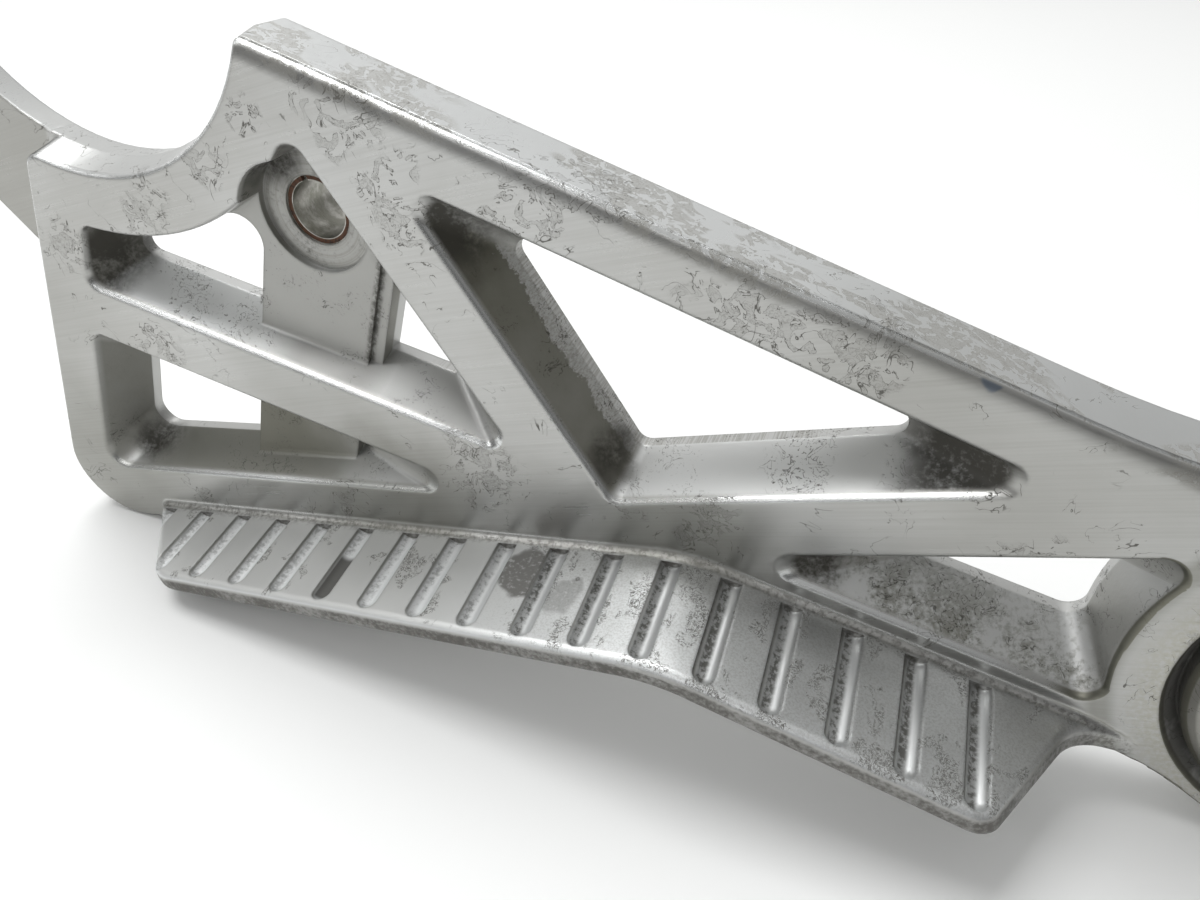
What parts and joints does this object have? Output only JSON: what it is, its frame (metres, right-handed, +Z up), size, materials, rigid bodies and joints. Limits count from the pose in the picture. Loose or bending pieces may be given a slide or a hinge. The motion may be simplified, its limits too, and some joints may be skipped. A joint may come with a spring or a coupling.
{
  "type": "footrest plate",
  "caption": "Cast aluminium motorbike footrest plate: truss cut-outs, round bite, ribbed tread along the lower edge, sleeved bolt boss, side arm and round pivot end.",
  "frame": {"origin": "on the axis of the sleeved bolt bore, in the plane of the plate's flat rear face", "axes": "+Z up as the plate stands on its heel corner and its round end, +Y to the rear along the bolt bore, +X from the arm to the round end"},
  "size_m": [0.2457, 0.0371, 0.0917],
  "materials": {
    "plate": "brushed, worn, with thread-like corrosion and dirt in the pockets",
    "sleeve": "rusty"
  },
  "bodies": {
    "root": {"footrest_plate": "plate", "bore_sleeve": "sleeve"}
  },
  "joints": []
}
